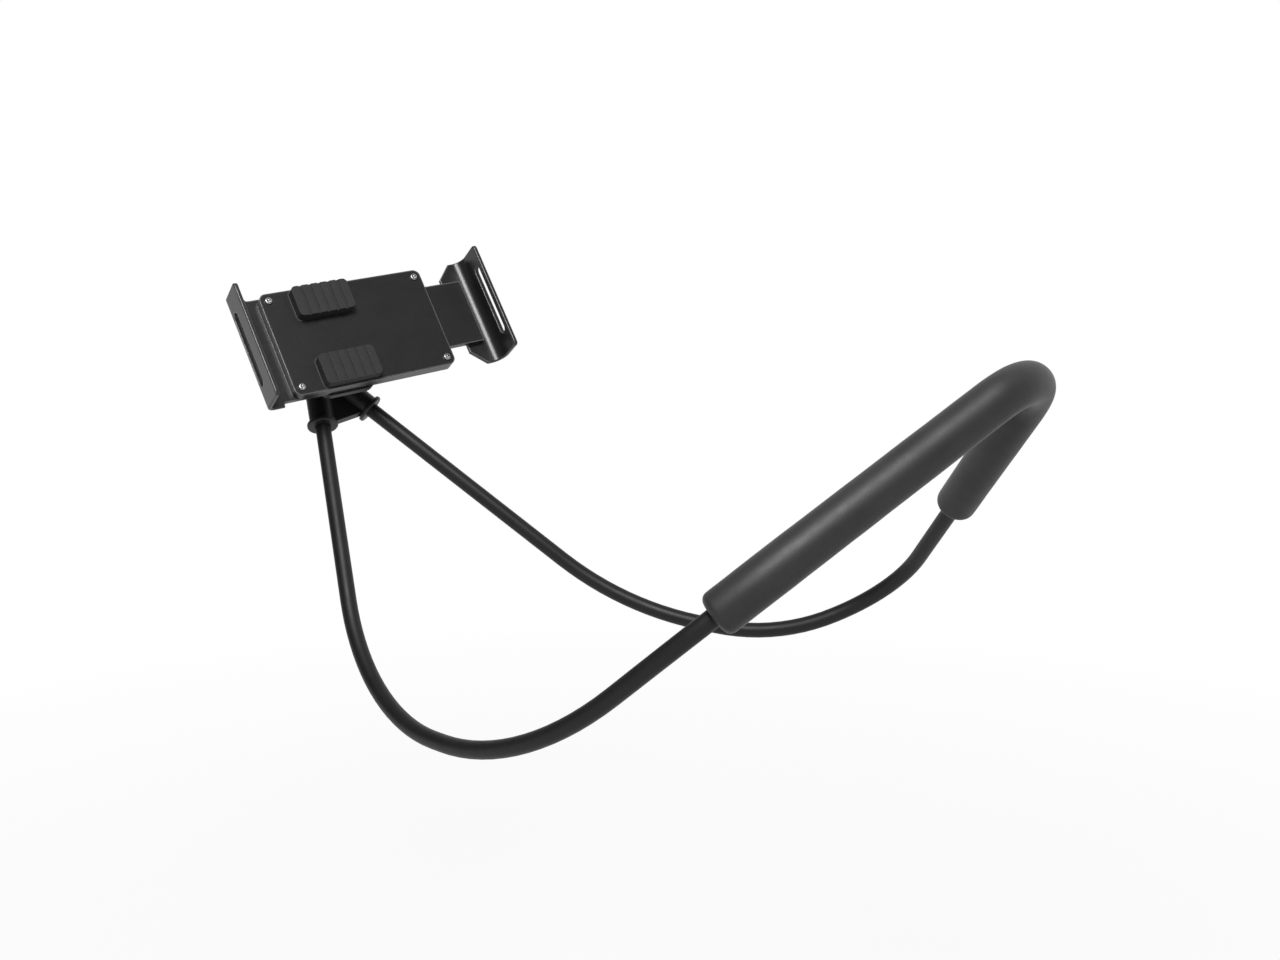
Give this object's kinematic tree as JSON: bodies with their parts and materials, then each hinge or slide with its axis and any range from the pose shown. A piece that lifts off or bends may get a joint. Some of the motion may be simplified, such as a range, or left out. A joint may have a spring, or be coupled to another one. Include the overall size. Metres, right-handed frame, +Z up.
{
  "type": "neck phone holder",
  "caption": "Bendable neck loop with a foam pad at the nape and a sprung clamp on a ball joint, which holds a phone in front of the wearer.",
  "frame": {"origin": "where the nape meets the inside of the neck pad, in the middle of the pad's bend", "axes": "+Y from the nape forward to the clamp, +X to the wearer's right, +Z up"},
  "size_m": [0.2425, 0.4285, 0.2406],
  "materials": {
    "foam": "matte closed-cell foam",
    "arm_jacket": "smooth satin black jacket",
    "arm_metal": "drawn",
    "joint_plastic": "fine matte moulded",
    "clamp_plastic": "satin moulded",
    "ball_plastic": "polished",
    "rubber": "matte",
    "steel": "zinc plated"
  },
  "bodies": {
    "neck_arm": {"neck_pad": "foam", "arm_jacket": "arm_jacket", "arm_core": "arm_metal", "yoke": "joint_plastic", "left_collar": "joint_plastic", "right_collar": "joint_plastic", "arm_grub_screws": "steel", "ball_screw": "steel"},
    "ball": {"ball": "ball_plastic"},
    "lock_ring": {"lock_ring": "joint_plastic"},
    "clamp": {"socket_housing": "joint_plastic", "housing_screws": "steel", "fixed_jaw": "clamp_plastic", "seat_plate": "clamp_plastic", "plate_screws": "steel", "upper_rest_pad": "rubber", "lower_rest_pad": "rubber", "upper_spring": "steel", "lower_spring": "steel"},
    "sliding_jaw": {"sliding_jaw": "clamp_plastic"}
  },
  "joints": [
    {"name": "ball_pan", "type": "hinge", "parent": "neck_arm", "child": "ball", "pos_m": [-0.00641, 0.38434, 0.01747], "axis": [-0.4005, -0.6979, 0.5938], "continuous": true},
    {"name": "clamp_tilt", "type": "hinge", "parent": "ball", "child": "lock_ring", "pos_m": [-0.00641, 0.38434, 0.01747], "axis": [0.8511, -0.5234, -0.0412], "range_deg": [-19.2, 17.3]},
    {"name": "clamp_spin", "type": "hinge", "parent": "lock_ring", "child": "clamp", "pos_m": [-0.00641, 0.38434, 0.01747], "axis": [-0.4425, -0.7573, 0.4802], "continuous": true},
    {"name": "jaw_slide", "type": "slide", "parent": "clamp", "child": "sliding_jaw", "axis": [0.8925, -0.424, 0.1538], "range_m": [-0.013, 0.025], "stiffness_N_per_m": 150, "springref_m": -0.055, "deforming": ["upper_spring", "lower_spring"]}
  ]
}
